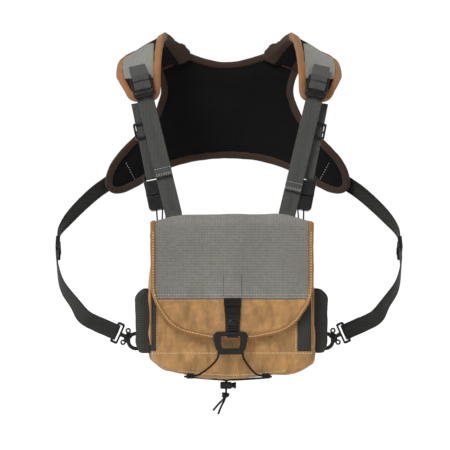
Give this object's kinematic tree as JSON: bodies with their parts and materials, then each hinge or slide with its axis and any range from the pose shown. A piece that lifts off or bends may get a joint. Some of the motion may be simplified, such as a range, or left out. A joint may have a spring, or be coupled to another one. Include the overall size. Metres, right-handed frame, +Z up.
{
  "type": "binocular harness pack",
  "caption": "Chest case for a binocular with a hooked flap, on a padded yoke harness with adjustable webbing, buckled leash cords and side hooks.",
  "frame": {"origin": "middle of the case's padded back face, where it rests on the wearer's chest", "axes": "+Z up, +Y from the case's back face towards the wearer, +X to the right as one faces the wearer"},
  "size_m": [0.4598, 0.334, 0.5004],
  "materials": {
    "mesh_black": "black spacer mesh",
    "foam_black": "closed-cell foam",
    "pad_cloth_black": "black cloth over foam",
    "edge_tape_brown": "woven edge tape, brown",
    "grey_cordura": "coarse plain-woven nylon, grey",
    "webbing_grey": "woven nylon webbing, dark grey",
    "webbing_black": "woven nylon webbing, black",
    "acetal_black": "moulded acetal, satin black",
    "canvas_tan": "coarse woven canvas, tan",
    "edge_tape_tan": "woven edge tape, tan",
    "lining_black": "smooth black lining cloth",
    "shock_cord_black": "braided elastic cord",
    "spring_steel": "drawn spring wire"
  },
  "bodies": {
    "pack": {"back_panel_binding": "edge_tape_brown", "back_panel_foam": "foam_black", "back_panel_lining": "mesh_black", "back_panel_shell": "mesh_black", "case_back_pad": "mesh_black", "case_back_panel": "canvas_tan", "case_base": "canvas_tan", "case_floor_pad": "foam_black", "case_front_panel": "canvas_tan", "case_left_side": "canvas_tan", "case_right_side": "canvas_tan", "closure_cord_base": "shock_cord_black", "cord_guides": "webbing_black", "cord_knot": "shock_cord_black", "cord_lock_body": "acetal_black", "cord_lock_spring": "spring_steel", "corner_mesh_strips": "mesh_black", "hook_loops": "webbing_black", "ladder_locks": "acetal_black", "left_cord_tail": "shock_cord_black", "left_leash_socket": "acetal_black", "left_leash_strap": "webbing_grey", "left_main_strap": "webbing_grey", "left_pad_binding": "edge_tape_brown", "left_shoulder_pad": "pad_cloth_black", "left_side_hook_frame": "acetal_black", "left_side_pocket": "mesh_black", "left_side_strap": "webbing_grey", "lock_webbing_loops": "webbing_grey", "right_cord_tail": "shock_cord_black", "right_leash_socket": "acetal_black", "right_leash_strap": "webbing_grey", "right_main_strap": "webbing_grey", "right_pad_binding": "edge_tape_brown", "right_shoulder_pad": "pad_cloth_black", "right_side_hook_frame": "acetal_black", "right_side_pocket": "mesh_black", "right_side_strap": "webbing_grey", "shoulder_patches": "grey_cordura"},
    "flap": {"flap_panel": "grey_cordura", "flap_lower_panel": "canvas_tan", "flap_lining": "lining_black", "flap_binding": "edge_tape_tan", "closure_tab": "webbing_black"},
    "ring": {"closure_ring": "acetal_black", "closure_cord_legs": "shock_cord_black"},
    "lock_button": {"cord_lock_button": "acetal_black"},
    "left_plug": {"left_leash_plug": "acetal_black", "left_leash_cord": "shock_cord_black"},
    "left_leash_adjuster": {"left_leash_slider": "acetal_black"},
    "left_side_adjuster": {"left_side_slider": "acetal_black"},
    "left_upper_jaw": {"left_hook_upper_jaw": "acetal_black"},
    "left_lower_jaw": {"left_hook_lower_jaw": "acetal_black"},
    "right_plug": {"right_leash_plug": "acetal_black", "right_leash_cord": "shock_cord_black"},
    "right_leash_adjuster": {"right_leash_slider": "acetal_black"},
    "right_side_adjuster": {"right_side_slider": "acetal_black"},
    "right_upper_jaw": {"right_hook_upper_jaw": "acetal_black"},
    "right_lower_jaw": {"right_hook_lower_jaw": "acetal_black"}
  },
  "joints": [
    {"name": "flap_open", "type": "hinge", "parent": "pack", "child": "flap", "pos_m": [0, -0.009, 0.0975], "axis": [-1, 0, 0], "range_deg": [0, 95], "deforming": ["closure_tab"]},
    {"name": "ring_drop", "type": "hinge", "parent": "pack", "child": "ring", "pos_m": [0, -0.0995, -0.101], "axis": [1, 0, 0], "range_deg": [0, 140]},
    {"name": "cord_lock_press", "type": "slide", "parent": "pack", "child": "lock_button", "axis": [-1, 0, 0], "range_m": [0, 0.0018], "stiffness_N_per_m": 600, "deforming": ["cord_lock_spring"]},
    {"name": "left_leash_unclip", "type": "slide", "parent": "pack", "child": "left_plug", "axis": [0.1967, -0.2167, -0.9562], "range_m": [0, 0.025], "deforming": ["left_leash_cord"]},
    {"name": "left_leash_adjust", "type": "slide", "parent": "pack", "child": "left_leash_adjuster", "axis": [-0.1967, 0.2167, 0.9562], "range_m": [-0.012, 0.012]},
    {"name": "left_side_adjust", "type": "slide", "parent": "pack", "child": "left_side_adjuster", "axis": [0, 0.7234, 0.6905], "range_m": [-0.012, 0.012]},
    {"name": "left_hook_open", "type": "hinge", "parent": "pack", "child": "left_upper_jaw", "pos_m": [-0.13356, -0.015, -0.05632], "axis": [0, -1, 0], "range_deg": [0, 12], "stiffness_Nm_per_rad": 0.005},
    {"name": "left_hook_lower_open", "type": "hinge", "parent": "pack", "child": "left_lower_jaw", "pos_m": [-0.13356, -0.015, -0.05632], "axis": [0, 1, 0], "range_deg": [0, 12]},
    {"name": "right_leash_unclip", "type": "slide", "parent": "pack", "child": "right_plug", "axis": [-0.1967, -0.2167, -0.9562], "range_m": [0, 0.025], "deforming": ["right_leash_cord"]},
    {"name": "right_leash_adjust", "type": "slide", "parent": "pack", "child": "right_leash_adjuster", "axis": [0.1967, 0.2167, 0.9562], "range_m": [-0.012, 0.012]},
    {"name": "right_side_adjust", "type": "slide", "parent": "pack", "child": "right_side_adjuster", "axis": [0, 0.7234, 0.6905], "range_m": [-0.012, 0.012]},
    {"name": "right_hook_open", "type": "hinge", "parent": "pack", "child": "right_upper_jaw", "pos_m": [0.13356, -0.015, -0.05632], "axis": [0, 1, 0], "range_deg": [0, 12], "stiffness_Nm_per_rad": 0.005},
    {"name": "right_hook_lower_open", "type": "hinge", "parent": "pack", "child": "right_lower_jaw", "pos_m": [0.13356, -0.015, -0.05632], "axis": [0, -1, 0], "range_deg": [0, 12]}
  ],
  "couplings": [
    {"joint": "left_hook_lower_open", "follows": "left_hook_open", "ratio": 1},
    {"joint": "right_hook_lower_open", "follows": "right_hook_open", "ratio": 1}
  ]
}
